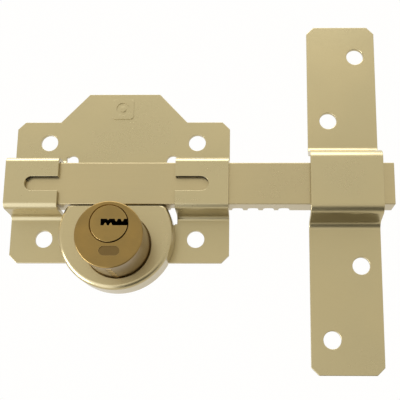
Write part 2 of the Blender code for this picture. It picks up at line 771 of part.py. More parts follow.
def build_pinion():
    origin = (AXIS_X, PLUG_Z)
    toothed = [gear_outline()]
    pinion = outline_solid("drive_pinion", toothed, PINION_BACK, PINION_FRONT, PARTS, FACE_ON, origin)
    hub = [
        (0, HUB_FRONT),
        (HUB_RADIUS, HUB_FRONT),
        (HUB_RADIUS, PINION_BACK + 0.8),
        (JOURNAL_RADIUS, PINION_BACK + 0.8),
        (JOURNAL_RADIUS, JOURNAL_BACK),
        (0, JOURNAL_BACK),
    ]
    boolean(pinion, turned("pinion_hub", hub, CUTTERS, origin, 40), "UNION")
    start = 90 - STOP_CLEARANCE
    end = 90 + LOST_MOTION + STOP_CLEARANCE
    bow = []
    for half_turn in (0, 180):
        bow += arc(AXIS_X, PLUG_Z, TAIL_WAY, start + half_turn, end + half_turn, 14)
        bow += arc(AXIS_X, PLUG_Z, HUB_WAIST, end + half_turn, start + half_turn + 180, 3)
    boolean(pinion, outline_solid("lost_motion_hole", [bow], -1, HUB_FRONT + 2, CUTTERS))
    return finish(pinion, BARE)


def hang_on_axis(name, pieces, centre):
    """Parent a turning group to an empty on its joint's axis, without moving it."""
    axis = bpy.data.objects.new(name, None)
    axis.matrix_world = Matrix.Translation(place(centre[0], centre[1], 0)) @ FACE_ON
    PARTS.objects.link(axis)
    bpy.context.view_layer.update()
    for piece in pieces:
        piece.parent = axis
        piece.matrix_parent_inverse = axis.matrix_world.inverted()


clear_scene()
PARTS = new_collection("rim_bolt_lock")
CUTTERS = new_collection("cutters", hidden=True)
build_case_plate()
build_bolt()
build_keeper()
build_housing()
build_retaining_plate()
build_screws()
build_cylinder_body()
build_pinion()
plug_group = [build_plug()] + build_plug_pieces() + build_pins()
hang_on_axis("plug_axis", plug_group, (AXIS_X, PLUG_Z))
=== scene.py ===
"""Visual model of the surface-mounted bolt lock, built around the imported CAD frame.

World frame: metres, +X toward the keeper, +Y into the door, +Z up.
Shapes are drawn face on, in millimetres: x across, z up, and h, the height above the door face.
"""

import math

import bmesh
import bpy
from mathutils import Matrix, Vector


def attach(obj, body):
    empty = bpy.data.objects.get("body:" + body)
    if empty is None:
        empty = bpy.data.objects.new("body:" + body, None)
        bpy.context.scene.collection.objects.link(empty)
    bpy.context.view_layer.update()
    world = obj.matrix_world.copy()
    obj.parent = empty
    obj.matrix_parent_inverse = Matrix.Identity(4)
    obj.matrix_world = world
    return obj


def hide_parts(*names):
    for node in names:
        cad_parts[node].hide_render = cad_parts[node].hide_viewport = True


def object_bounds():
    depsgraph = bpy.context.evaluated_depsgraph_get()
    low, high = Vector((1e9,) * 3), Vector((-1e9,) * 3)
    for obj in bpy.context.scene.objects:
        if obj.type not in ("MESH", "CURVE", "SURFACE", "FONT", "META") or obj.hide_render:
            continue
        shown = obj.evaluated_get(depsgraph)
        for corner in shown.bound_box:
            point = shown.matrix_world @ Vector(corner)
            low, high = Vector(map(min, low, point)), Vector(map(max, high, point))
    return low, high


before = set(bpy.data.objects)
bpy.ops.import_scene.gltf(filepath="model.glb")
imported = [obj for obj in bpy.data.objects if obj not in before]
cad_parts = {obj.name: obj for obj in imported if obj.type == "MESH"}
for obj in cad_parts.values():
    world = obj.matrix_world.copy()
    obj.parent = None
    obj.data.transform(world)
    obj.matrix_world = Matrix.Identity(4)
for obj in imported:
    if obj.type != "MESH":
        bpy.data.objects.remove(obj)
cad_low, cad_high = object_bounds()

MM = 0.001
FACE_ON = Matrix.Rotation(math.radians(90), 4, "X")
ALONG_X = Matrix(((0, 0, 1, 0), (0, -1, 0, 0), (1, 0, 0, 0), (0, 0, 0, 1)))

# Case plate
SHEET = 2.0
PLATE_HALF_WIDTH = 54.0
CROWN_TOP = 51.3
CROWN_HALF_WIDTH = 18.0
CROWN_FOOT_HALF_WIDTH = 32.2
TAB_TOP = 36.1
TAB_BOTTOM = -37.0
CORNER_CUT = 3.8
FIXING_X = 37.5
FIXING_Z = 25.1
FIXING_RADIUS = 4.3
BRIDGE_INNER_X = 28.3
BRIDGE_RISE = 15.6
BRIDGE_MID_HALF = 11.9
BRIDGE_FOOT_MID_HALF = 12.7
BRIDGE_TOP_RADIUS = 2.0
BRIDGE_FOOT_RADIUS = 3.4
WINDOW_HALF = 17.4
SLOT_END_X = 44.4
SLOT_HALF = 3.6
SLOT_Z = -0.7
RELIEF_X = 25.3
RELIEF_HALF = 3.0
RELIEF_REACH = 18.3
SHEET_EDGE = 0.3

# Badge
BADGE_X = -0.7
BADGE_Z = 43.2
BADGE_HALF = 5.4
BADGE_CORNER = 1.5
BADGE_HOLE = 3.4
BADGE_DOT = 1.5
BADGE_RISE = 0.35
BADGE_SUNK = 0.5
BADGE_EDGE = 0.22

# Bolt and its rack
BAR_START = -52.0
BAR_END = 134.0
BAR_HALF = 10.5
BAR_BACK = 2.35
BAR_FRONT = 13.3
BAR_EDGE = 0.4
RACK_FIRST = -2.95
RACK_NOTCHES = 12
RACK_ROOT = 3.75
RACK_STRAIGHT = 4.6
RACK_ROUND = 1.7
BACKLASH = 0.35
PITCH_RADIUS = 17.0
PITCH = 2 * math.pi * PITCH_RADIUS / 14
PRESSURE = math.radians(25)

# Keeper
KEEPER_LEFT = 93.4
KEEPER_RIGHT = 128.4
KEEPER_TOP = 88.7
KEEPER_BOTTOM = -91.2
KEEPER_CUT = 3.7
KEEPER_HOLES = ((118.3, 72.1), (103.8, 36.8), (118.5, -38.3), (103.7, -74.4))
KEEPER_BRIDGE_Z = 1.1
KEEPER_RISE = 15.7
KEEPER_TOP_MID_HALF = 14.6
KEEPER_FOOT_MID_HALF = 17.6
KEEPER_TOP_RADIUS = 4.0
KEEPER_FOOT_RADIUS = 5.0

# Cylinder housing
CUP_Z = -24.5
CUP_RADIUS = 27.5
CUP_TOP = -11.1
CUP_BACK = 0.3
CUP_SEAT = 2.3
CUP_SEAT_LOW = TAB_BOTTOM - 0.4
CUP_FRONT = 13.4
CUP_WALL = 2.0
CUP_CORNER = 2.5
CUP_EDGE = 2.3
TOP_SHARE = 0.12
POST_RING = 23.5
POST_ANGLES = (8, 172, 200, 340)
POST_RADIUS = 2.5
SCREW_RADIUS = 1.6
SINK_RADIUS = 3.1
POST_HOLE = 1.55
POST_HOLE_TOP = 8.8
PAD_POINTS = ((-17.0, -17.4), (19.2, -17.4))
PAD_LOW = 9.0
PAD_HOLE = 1.45
PAD_HOLE_TOP = 11.0
PILLAR_TOP = CUP_FRONT - 1.2
WINDOW_PINION_HALF = 14.2
WINDOW_PINION_FRONT = 6.2

# Cylinder body, plug and pins
AXIS_X = 1.5
PLUG_Z = -25.9
BODY_Z = -30.8
BODY_RADIUS = 15.4
BODY_BACK = 9.0
BODY_FRONT = 35.4
FLANGE_RADIUS = 17.0
FLANGE_TOP = 11.1
BODY_EDGE = 0.6
BODY_GAP = 0.3
PLUG_RADIUS = 8.4
PLUG_FRONT = 35.6
PLUG_BACK = 10.5
PLUG_LIP = 0.15
PLUG_GAP = 0.1
BORE_LIP = 0.45
NECK_RADIUS = 5.5
NECK_BACK = 7.2
NECK_GROOVE = 4.7
GROOVE_BACK = 7.65
GROOVE_FRONT = 8.95
WEB_TOP = 10.2
PIN_HEIGHTS = (31.4, 27.2, 23.0, 18.8, 14.6)
CHAMBER_RADIUS = 1.6
KEYWAY_LEFT = -3.6
KEYWAY_LOW = -0.95
KEYWAY_HIGH = 2.15
KEYWAY_BACK = 12.6
WARD_HALF = 0.75
WARD_TIP = 0.25
WARD_HEIGHT = 1.15
WARDS_BELOW = (-1.4, 1.0)
WARDS_ABOVE = (6.1, 3.4)
TAIL_SLOT_HALF_WIDTH = 1.3
TAIL_SLOT_HALF_HEIGHT = 4.1
TAIL_SLOT_FRONT = 10.3
CROSS_HOLE_H = 9.5
CROSS_HOLE_RADIUS = 0.95
MARK_X = 0.7
MARK_Z = -38.3
MARK_REACH = 2.5
MARK_HALF = 2.2
MARK_DEPTH = 0.4

BRASS = (0.245, 0.16, 0.048)

# Stage, in metres
FLOOR_DROP = 0.06
COOL_WHITE = (0.93, 0.97, 1.1)

COLLECTION = bpy.context.scene.collection


# ---------------------------------------------------------------- shapes


def place(x, z, h):
    return Vector((x, -h, z)) * MM


def add_object(name, mesh, matrix=FACE_ON):
    obj = bpy.data.objects.new(name, mesh)
    obj.matrix_world = matrix
    COLLECTION.objects.link(obj)
    return obj


def arc(x, z, radius, start, end, steps):
    points = []
    for i in range(steps + 1):
        angle = math.radians(start + (end - start) * i / steps)
        points.append((x + radius * math.cos(angle), z + radius * math.sin(angle)))
    return points


def circle(x, z, radius, steps=64):
    return arc(x, z, radius, 0, 360 - 360 / steps, steps - 1)


def box_outline(x, z, half_width, half_height):
    return [
        (x - half_width, z - half_height),
        (x + half_width, z - half_height),
        (x + half_width, z + half_height),
        (x - half_width, z + half_height),
    ]


def rounded(points, radii, steps, closed):
    """Replace each corner of a path by an arc of its radius."""
    path = []
    count = len(points)
    for i, radius in enumerate(radii):
        here = Vector(points[i])
        if not radius or (not closed and i in (0, count - 1)):
            path.append(tuple(here))
            continue
        to_last = (Vector(points[i - 1]) - here).normalized()
        to_next = (Vector(points[(i + 1) % count]) - here).normalized()
        half = to_last.angle(to_next) / 2
        centre = here + (to_last + to_next).normalized() * radius / math.sin(half)
        start = here + to_last * radius / math.tan(half) - centre
        end = here + to_next * radius / math.tan(half) - centre
        turn = start.angle_signed(end)
        for k in range(steps + 1):
            spin = Matrix.Rotation(-turn * k / steps, 2)
            path.append(tuple(centre + spin @ start))
    return path


def filled(loops, depth=0.0):
    """Mesh filling closed loops, an outline and its holes, thickened by depth each way."""
    curve = bpy.data.curves.new("loops", "CURVE")
    curve.dimensions = "2D"
    curve.fill_mode = "BOTH"
    curve.extrude = depth * MM
    for loop in loops:
        spline = curve.splines.new("POLY")
        spline.points.add(len(loop) - 1)
        for point, (x, z) in zip(spline.points, loop):
            point.co = (x * MM, z * MM, 0, 1)
        spline.use_cyclic_u = True
    drawn = bpy.data.objects.new("loops", curve)
    COLLECTION.objects.link(drawn)
    graph = bpy.context.evaluated_depsgraph_get()
    mesh = bpy.data.meshes.new_from_object(drawn.evaluated_get(graph))
    bpy.data.objects.remove(drawn, do_unlink=True)
    return mesh


def outline_solid(name, loops, low, high, matrix=FACE_ON):
    mesh = filled(loops, (high - low) / 2)
    work = bmesh.new()
    work.from_mesh(mesh)
    bmesh.ops.remove_doubles(work, verts=work.verts, dist=1e-7)
    bmesh.ops.beautify_fill(work, faces=work.faces, edges=work.edges)
    bmesh.ops.translate(work, verts=work.verts, vec=(0, 0, (high + low) / 2 * MM))
    bmesh.ops.recalc_face_normals(work, faces=work.faces)
    work.to_mesh(mesh)
    work.free()
    return add_object(name, mesh, matrix)


def turned(name, profile, centre, segments=96, matrix=FACE_ON):
    """Revolve (radius, height) points around the axis through the face-on point centre."""
    mesh = bpy.data.meshes.new(name)
    work = bmesh.new()
    verts = [work.verts.new((radius * MM, 0, height * MM)) for radius, height in profile]
    for first, second in zip(verts, verts[1:]):
        work.edges.new((first, second))
    work.to_mesh(mesh)
    work.free()
    obj = add_object(name, mesh, Matrix.Translation(place(centre[0], centre[1], 0)) @ matrix)
    screw = obj.modifiers.new("turn", "SCREW")
    screw.axis = "Z"
    screw.steps = segments
    screw.render_steps = segments
    screw.use_merge_vertices = True
    screw.merge_threshold = 1e-6
    return obj


def loft(name, rings):
    mesh = bpy.data.meshes.new(name)
    work = bmesh.new()
    rows = [[work.verts.new(Vector(point) * MM) for point in ring] for ring in rings]
    for near, far in zip(rows, rows[1:]):
        for i in range(len(near)):
            j = (i + 1) % len(near)
            work.faces.new((near[i], near[j], far[j], far[i]))
    work.faces.new(rows[0])
    work.faces.new(rows[-1])
    bmesh.ops.recalc_face_normals(work, faces=work.faces)
    work.to_mesh(mesh)
    work.free()
    return add_object(name, mesh, Matrix.Identity(4))


def combine(target, tool, operation="DIFFERENCE"):
    """Apply a Boolean and drop its tool."""
    modifier = target.modifiers.new("cut", "BOOLEAN")
    modifier.operation = operation
    modifier.solver = "EXACT"
    modifier.object = tool
    modifier.material_mode = "TRANSFER" if tool.data.materials else "INDEX"
    settle(target)
    bpy.data.objects.remove(tool, do_unlink=True)


def settle(obj):
    """Turn the modifiers so far into plain mesh."""
    bpy.context.view_layer.update()
    graph = bpy.context.evaluated_depsgraph_get()
    mesh = bpy.data.meshes.new_from_object(obj.evaluated_get(graph))
    obj.modifiers.clear()
    obj.data = mesh


def shade(obj, angle=32):
    """Smooth shading across gentle edges, with flat faces kept flat."""
    settle(obj)
    mesh = obj.data
    for polygon in mesh.polygons:
        polygon.use_smooth = True
    mesh.set_sharp_from_angle(angle=math.radians(angle))
    normals = obj.modifiers.new("face_weighted", "WEIGHTED_NORMAL")
    normals.keep_sharp = True
    normals.weight = 80


def soften_edges(obj, width, segments=3, angle=40):
    bevel = obj.modifiers.new("edges", "BEVEL")
    bevel.width = width * MM
    bevel.segments = segments
    bevel.limit_method = "ANGLE"
    bevel.angle_limit = math.radians(angle)
    bevel.use_clamp_overlap = True
    bevel.loop_slide = False


# ---------------------------------------------------------------- materials


class Nodes:
    """Short hand for building one node material."""

    def __init__(self, name):
        self.material = bpy.data.materials.new(name)
        self.material.use_nodes = True
        self.tree = self.material.node_tree
        self.shader = self.tree.nodes["Principled BSDF"]
        self.coords = self.add("ShaderNodeTexCoord").outputs["Object"]

    def add(self, kind, **settings):
        node = self.tree.nodes.new(kind)
        for key, value in settings.items():
            setattr(node, key, value)
        return node

    def link(self, output, socket):
        self.tree.links.new(output, socket)

    def mapped(self, scale, turn=(0, 0, 0), move=(0, 0, 0)):
        node = self.add("ShaderNodeMapping")
        node.inputs["Scale"].default_value = scale
        node.inputs["Rotation"].default_value = turn
        node.inputs["Location"].default_value = move
        self.link(self.coords, node.inputs["Vector"])
        return node.outputs["Vector"]

    def noise(self, scale, detail=3.0, rough=0.55, vector=None, distortion=0.0):
        node = self.add("ShaderNodeTexNoise")
        node.inputs["Scale"].default_value = scale
        node.inputs["Detail"].default_value = detail
        node.inputs["Roughness"].default_value = rough
        node.inputs["Distortion"].default_value = distortion
        self.link(vector or self.coords, node.inputs["Vector"])
        return node.outputs["Fac"]

    def span(self, value, low, high, to_low, to_high):
        node = self.add("ShaderNodeMapRange")
        node.inputs["From Min"].default_value = low
        node.inputs["From Max"].default_value = high
        node.inputs["To Min"].default_value = to_low
        node.inputs["To Max"].default_value = to_high
        self.link(value, node.inputs["Value"])
        return node.outputs["Result"]

    def math(self, operation, first, second):
        node = self.add("ShaderNodeMath", operation=operation)
        for socket, value in zip(node.inputs, (first, second)):
            if isinstance(value, (int, float)):
                socket.default_value = value
            else:
                self.link(value, socket)
        return node.outputs[0]

    def blend(self, factor, first, second, mode="MIX"):
        node = self.add("ShaderNodeMix", data_type="RGBA", blend_type=mode)
        colours = [s for s in node.inputs if s.type == "RGBA"]
        for socket, value in ((node.inputs[0], factor), (colours[0], first), (colours[1], second)):
            if isinstance(value, (int, float, tuple)):
                socket.default_value = value
            else:
                self.link(value, socket)
        return [s for s in node.outputs if s.type == "RGBA"][0]

    def edges(self, radius):
        """1 on crisp convex or concave edges, 0 on open faces; the materials paint a highlight with it."""
        bevel = self.add("ShaderNodeBevel", samples=4)
        bevel.inputs["Radius"].default_value = radius
        geometry = self.add("ShaderNodeNewGeometry")
        dot = self.add("ShaderNodeVectorMath", operation="DOT_PRODUCT")
        self.link(bevel.outputs["Normal"], dot.inputs[0])
        self.link(geometry.outputs["Normal"], dot.inputs[1])
        return self.span(dot.outputs["Value"], 0.995, 0.85, 0.0, 1.0)

    def bump(self, layers):
        """Chain (height, strength, distance) layers into the shader's normal."""
        last = None
        for height, strength, distance in layers:
            node = self.add("ShaderNodeBump")
            node.inputs["Strength"].default_value = strength
            node.inputs["Distance"].default_value = distance
            self.link(height, node.inputs["Height"])
            if last is not None:
                self.link(last, node.inputs["Normal"])
            last = node.outputs["Normal"]
        self.link(last, self.shader.inputs["Normal"])

    def paint(self, hue, tone):
        """Base colour: a hue scaled by a tone around 1."""
        node = self.add("ShaderNodeVectorMath", operation="SCALE")
        self.link(hue, node.inputs[0])
        self.link(tone, node.inputs["Scale"])
        self.link(node.outputs["Vector"], self.shader.inputs["Base Color"])

    def set(self, **values):
        for name, value in values.items():
            self.shader.inputs[name.replace("_", " ")].default_value = value


def lacquered_gold(name, move, colour=(0.46, 0.38, 0.195)):
    """Satin pale-gold lacquer over pressed steel: fine flake, faint rolling lines, painted edge highlight.
    """
    n = Nodes(name)
    cloud = n.noise(22.0, 2.0, 0.5, n.mapped((1, 1, 1), move=move))
    speck = n.noise(2600.0, 2.0, 0.6, n.mapped((1, 1, 1), move=move))
    lines = n.noise(1.0, 4.0, 0.6, n.mapped((40, 40, 2600), move=move))
    mottled = n.noise(420.0, 4.0, 0.6, n.mapped((1, 1, 1), move=move))
    tone = n.math("ADD", n.span(cloud, 0.3, 0.7, -0.02, 0.02), n.span(speck, 0.3, 0.7, -0.015, 0.015))
    tone = n.math("ADD", tone, n.span(lines, 0.3, 0.7, -0.012, 0.012))
    hue = n.blend(n.span(cloud, 0.35, 0.65, 0.0, 1.0), (*colour, 1), tint(colour, (1.01, 0.995, 0.97)))
    # Painted highlight: crisp edges are lightened and cooled towards white.
    hue = n.blend(n.math("MULTIPLY", n.edges(0.0004), 0.35), hue, tint(colour, (1.2, 1.22, 1.35)))
    n.paint(hue, n.math("ADD", 1.0, tone))
    rough = n.math("ADD", n.span(mottled, 0.3, 0.7, 0.28, 0.3), n.span(cloud, 0.3, 0.7, -0.015, 0.015))
    n.link(rough, n.shader.inputs["Roughness"])
    n.set(Metallic=0.88, Coat_Weight=0.3, Coat_Roughness=0.18, Coat_IOR=1.5)
    n.bump([(mottled, 0.015, 0.00003), (lines, 0.03, 0.00003), (speck, 0.02, 0.00001)])
    return n.material


def tint(colour, by):
    return tuple(c * b for c, b in zip(colour, by)) + (1,)


def satin_brass(name, centre, colour=BRASS):
    """Turned brass under a brown-gold finish, with fine rings around its axis."""
    n = Nodes(name)
    shift = n.mapped((1, 1, 1), move=(-centre[0] * MM, 0, -centre[1] * MM))
    split = n.add("ShaderNodeSeparateXYZ")
    n.link(shift, split.inputs[0])
    across = n.math("POWER", split.outputs["X"], 2.0)
    up = n.math("POWER", split.outputs["Z"], 2.0)
    radius = n.math("SQRT", n.math("ADD", across, up), 0.0)
    join = n.add("ShaderNodeCombineXYZ")
    n.link(n.math("MULTIPLY", radius, 2400.0), join.inputs["X"])
    n.link(n.math("MULTIPLY", split.outputs["Y"], 2400.0), join.inputs["Y"])
    rings = n.noise(1.0, 3.0, 0.6, join.outputs[0])
    cloud = n.noise(60.0, 3.0, 0.55)
    fine = n.noise(1800.0, 2.0, 0.6)
    tone = n.math("ADD", n.span(cloud, 0.3, 0.7, -0.08, 0.08), n.span(rings, 0.3, 0.7, -0.03, 0.03))
    hue = n.blend(n.span(cloud, 0.3, 0.7, 0.0, 1.0), (*colour, 1), tint(colour, (1.1, 1.04, 0.9)))
    # Painted highlight: crisp edges are made about twice as bright and whiter.
    hue = n.blend(n.math("MULTIPLY", n.edges(0.00035), 0.55), hue, tint(colour, (2.0, 2.1, 2.5)))
    n.paint(hue, n.math("ADD", 1.0, tone))
    n.link(n.span(cloud, 0.3, 0.7, 0.27, 0.36), n.shader.inputs["Roughness"])
    n.set(Metallic=1.0, Coat_Weight=0.2, Coat_Roughness=0.2, Coat_IOR=1.5)
    n.bump([(rings, 0.09, 0.00002), (fine, 0.08, 0.00001)])
    return n.material


def plain_steel(name, colour=(0.42, 0.42, 0.41), rough=(0.28, 0.45)):
    """Zinc-coated steel: spangled tone, patchy roughness, fine scratches."""
    n = Nodes(name)
    cells = n.add("ShaderNodeTexVoronoi", feature="F1")
    cells.inputs["Scale"].default_value = 900.0
    n.link(n.coords, cells.inputs["Vector"])
    cloud = n.noise(150.0, 3.0, 0.6)
    scratch = n.noise(1.0, 3.0, 0.6, n.mapped((300, 300, 5200), (0.3, 0.5, 0.2)))
    tone = n.math("ADD", n.span(cells.outputs["Distance"], 0.0, 1.0, -0.06, 0.06), 1.0)
    tone = n.math("ADD", tone, n.span(cloud, 0.3, 0.7, -0.1, 0.1))
    # Painted highlight: crisp edges are lightened by 1.6 times.
    hue = n.blend(n.math("MULTIPLY", n.edges(0.0003), 0.5), (*colour, 1), tint(colour, (1.6, 1.6, 1.6)))
    n.paint(hue, tone)
    n.link(n.span(cloud, 0.3, 0.7, *rough), n.shader.inputs["Roughness"])
    n.set(Metallic=1.0)
    n.bump([(scratch, 0.08, 0.00003), (cells.outputs["Distance"], 0.05, 0.00002)])
    return n.material


def painted_recess_shade(name):
    """Near-black painted shade inside the keyway and on the upper cut walls of the slots."""
    n = Nodes(name)
    cloud = n.noise(700.0, 3.0, 0.6)
    n.link(n.blend(cloud, (0.012, 0.009, 0.006, 1), (0.03, 0.022, 0.012, 1)), n.shader.inputs["Base Color"])
    n.link(n.span(cloud, 0.3, 0.7, 0.45, 0.7), n.shader.inputs["Roughness"])
    n.set(Metallic=0.6)
    n.bump([(cloud, 0.2, 0.00004)])
    return n.material


def pale_floor(name):
    n = Nodes(name)
    cloud = n.noise(3.0, 4.0, 0.6)
    n.link(n.blend(cloud, (0.80, 0.80, 0.79, 1), (0.86, 0.86, 0.85, 1)), n.shader.inputs["Base Color"])
    n.link(n.span(cloud, 0.3, 0.7, 0.6, 0.75), n.shader.inputs["Roughness"])
    n.bump([(n.noise(400.0, 3.0, 0.6), 0.05, 0.0002)])
    return n.material


# ---------------------------------------------------------------- pieces


def relief_arc(side):
    reach = RELIEF_REACH - RELIEF_HALF
    near = math.degrees(math.asin((WINDOW_HALF - reach) / RELIEF_HALF))
    upper = arc(RELIEF_X, reach, RELIEF_HALF, near, 180, 20)
    lower = arc(RELIEF_X, -reach, RELIEF_HALF, 180, 360 - near, 20)
    return [(side * x, z) for x, z in upper + lower]


def half_outline(side):
    points = [
        (CROWN_HALF_WIDTH, CROWN_TOP),
        (CROWN_FOOT_HALF_WIDTH, TAB_TOP),
        (PLATE_HALF_WIDTH - CORNER_CUT, TAB_TOP),
        (PLATE_HALF_WIDTH, TAB_TOP - CORNER_CUT),
        (PLATE_HALF_WIDTH, WINDOW_HALF),
        (BRIDGE_INNER_X, WINDOW_HALF),
    ]
    lower = [
        (BRIDGE_INNER_X, -WINDOW_HALF),
        (PLATE_HALF_WIDTH, -WINDOW_HALF),
        (PLATE_HALF_WIDTH, TAB_BOTTOM + CORNER_CUT),
        (PLATE_HALF_WIDTH - CORNER_CUT, TAB_BOTTOM),
    ]
    points = [(side * x, z) for x, z in points]
    return points + relief_arc(side) + [(side * x, z) for x, z in lower]


def bridge_sections(middle_z, top_half, foot_half, ends, rise, top_radius, foot_radius, steps):
    """Middle line of a raised bridge, split into its lower side, its flat top and its upper side."""
    low = SHEET / 2
    high = rise - SHEET / 2
    points = [
        (ends[0], low),
        (middle_z - foot_half, low),
        (middle_z - top_half, high),
        (middle_z + top_half, high),
        (middle_z + foot_half, low),
        (ends[1], low),
    ]
    radii = (0, foot_radius, top_radius, top_radius, foot_radius, 0)
    path = rounded(points, radii, steps, False)
    split = 1 + 2 * (steps + 1)
    return path[:split], path[split:]


def strip(work, path, near, far):
    rows = []
    for z, h in path:
        rows.append([work.verts.new(Vector((x, z, h)) * MM) for x in (near, far)])
    for low, high in zip(rows, rows[1:]):
        work.faces.new((low[0], low[1], high[1], high[0]))


def flat_part(work, loops, h):
    part = bmesh.new()
    part.from_mesh(filled(loops))
    bmesh.ops.remove_doubles(part, verts=part.verts, dist=1e-7)
    bmesh.ops.beautify_fill(part, faces=part.faces, edges=part.edges)
    bmesh.ops.translate(part, verts=part.verts, vec=(0, 0, h * MM))
    mesh = bpy.data.meshes.new("part")
    part.to_mesh(mesh)
    part.free()
    work.from_mesh(mesh)


def thickened(name, work, sinks=()):
    """Close a bent middle surface into sheet metal, sink some holes at the back, soften the edges."""
    bmesh.ops.remove_doubles(work, verts=work.verts, dist=1e-6)
    bmesh.ops.recalc_face_normals(work, faces=work.faces)
    mesh = bpy.data.meshes.new(name)
    work.to_mesh(mesh)
    work.free()
    obj = add_object(name, mesh)
    sheet = obj.modifiers.new("sheet", "SOLIDIFY")
    sheet.thickness = SHEET * MM
    sheet.offset = 0
    sheet.use_even_offset = True
    settle(obj)
    for vertex in obj.data.vertices:
        for x, z in sinks:
            away = Vector((vertex.co.x - x * MM, vertex.co.y - z * MM))
            if vertex.co.z < 0.1 * MM and away.length < 2 * MM:
                away *= SINK_RADIUS / SCREW_RADIUS
                vertex.co.x = x * MM + away.x
                vertex.co.y = z * MM + away.y
    soften_edges(obj, SHEET_EDGE)
    settle(obj)
    return obj


def post_points():
    points = []
    for angle in POST_ANGLES:
        turn = math.radians(angle)
        points.append((POST_RING * math.cos(turn), CUP_Z + POST_RING * math.sin(turn)))
    return points


def on_slot_roof(polygon):
    """Whether a face is on the upper cut wall of a bridge's slot, which gets painted shade."""
    x, z, h = polygon.center / MM
    along = BRIDGE_INNER_X + 0.5 < abs(x) < SLOT_END_X + 0.1
    upper = SLOT_Z + SLOT_HALF * 0.55 < z < SLOT_Z + SLOT_HALF + 0.12
    return along and upper and polygon.normal.z < 0.5 and h < BRIDGE_RISE - SHEET_EDGE


def make_case_plate():
    outline = half_outline(1) + half_outline(-1)[::-1]
    loops = [outline, circle(AXIS_X, PLUG_Z, 6.0)]
    for side in (-1, 1):
        for z in (-FIXING_Z, FIXING_Z):
            loops.append(circle(side * FIXING_X, z, FIXING_RADIUS))
    sinks = post_points()
    for x, z in sinks:
        loops.append(circle(x, z, SCREW_RADIUS, 32))
    work = bmesh.new()
    flat_part(work, loops, SHEET / 2)
    lower, upper = bridge_sections(
        0,
        BRIDGE_MID_HALF,
        BRIDGE_FOOT_MID_HALF,
        (-WINDOW_HALF, WINDOW_HALF),
        BRIDGE_RISE,
        BRIDGE_TOP_RADIUS,
        BRIDGE_FOOT_RADIUS,
        12,
    )
    top = BRIDGE_RISE - SHEET / 2
    flat_low, flat_high = lower[-1][0], upper[0][0]
    for side in (-1, 1):
        inner = side * BRIDGE_INNER_X
        outer = side * PLATE_HALF_WIDTH
        strip(work, lower, inner, outer)
        strip(work, upper, inner, outer)
        end = side * (SLOT_END_X - SLOT_HALF)
        rim = arc(end, SLOT_Z, SLOT_HALF, -90, 90, 24)
        if side < 0:
            rim = arc(end, SLOT_Z, SLOT_HALF, 270, 90, 24)
        face = [(inner, flat_low), (inner, SLOT_Z - SLOT_HALF)] + rim
        face += [(inner, SLOT_Z + SLOT_HALF), (inner, flat_high), (outer, flat_high), (outer, flat_low)]
        flat_part(work, [face], top)
    plate = thickened("case_plate_pressing", work, sinks)
    shade(plate)
    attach(plate, "case")
    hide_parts("case_plate")
    plate.data.materials.append(lacquered_gold("case_lacquer", (0.3, 0.1, 0.7)))
    # Painted shade: the slots' upper cut walls take the near-black material.
    plate.data.materials.append(painted_recess_shade("slot_roof_painted_shade"))
    for polygon in plate.data.polygons:
        if on_slot_roof(polygon):
            polygon.material_index = 1
    return plate


def make_badge():
    """Generic raised badge: a rounded square frame around a plain dot."""
    frame_outline = rounded(
        box_outline(BADGE_X, BADGE_Z, BADGE_HALF, BADGE_HALF), (BADGE_CORNER,) * 4, 8, True
    )
    loops = [frame_outline, circle(BADGE_X, BADGE_Z, BADGE_HOLE, 48)]
    low, high = SHEET - BADGE_SUNK, SHEET + BADGE_RISE
    badge = outline_solid("case_badge", loops, low, high)
    merge(badge, outline_solid("dot", [circle(BADGE_X, BADGE_Z, BADGE_DOT, 40)], low, high))
    soften_edges(badge, BADGE_EDGE)
    shade(badge)
    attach(badge, "case")
    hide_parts("case_plate")
    badge.data.materials.append(lacquered_gold("badge_lacquer", (0.3, 0.1, 0.7)))


def merge(target, other):
    """Join another separate body into the same mesh."""
    work = bmesh.new()
    work.from_mesh(target.data)
    work.from_mesh(other.data)
    mesh = bpy.data.meshes.new(target.name)
    work.to_mesh(mesh)
    work.free()
    target.data = mesh
    bpy.data.objects.remove(other, do_unlink=True)


def make_bolt():
    width = BAR_END - BAR_START
    depth = BAR_FRONT - BAR_BACK
    mesh = bpy.data.meshes.new("bolt")
    work = bmesh.new()
    bmesh.ops.create_cube(work, size=1)
    bmesh.ops.scale(work, verts=work.verts, vec=Vector((width, depth, 2 * BAR_HALF)) * MM)
    work.to_mesh(mesh)
    work.free()
    middle = place((BAR_START + BAR_END) / 2, 0, (BAR_BACK + BAR_FRONT) / 2)
    bar = add_object("bolt_bar_milled", mesh, Matrix.Translation(middle))
    soften_edges(bar, BAR_EDGE, 4)
    settle(bar)
    mouth = PITCH / 2 + BACKLASH + 2 * (PITCH_RADIUS + PLUG_Z + BAR_HALF) * math.tan(PRESSURE)
    root = mouth - 2 * RACK_ROOT * math.tan(PRESSURE)
    extra = 1.0
    wide = mouth + 2 * extra * math.tan(PRESSURE)
    levels = [(BAR_BACK - 1, 1.0), (RACK_STRAIGHT, 1.0)]
    for k in range(1, 7):
        turn = math.radians(84) * k / 6
        levels.append((RACK_STRAIGHT + RACK_ROUND * math.sin(turn), math.cos(turn) * 0.85 + 0.15))
    for i in range(RACK_NOTCHES):
        x = RACK_FIRST + i * PITCH
        rings = []
        for h, share in levels:
            rings.append(
                [
                    (x - wide / 2 * share, -h, -BAR_HALF - extra),
                    (x + wide / 2 * share, -h, -BAR_HALF - extra),
                    (x + root / 2 * share, -h, -BAR_HALF + RACK_ROOT),
                    (x - root / 2 * share, -h, -BAR_HALF + RACK_ROOT),
                ]
            )
        combine(bar, loft("notch", rings))
    shade(bar)
    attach(bar, "bolt")
    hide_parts("bolt_bar")
    bar.data.materials.append(lacquered_gold("bolt_lacquer", (0.9, 0.4, 0.2), (0.45, 0.365, 0.185)))


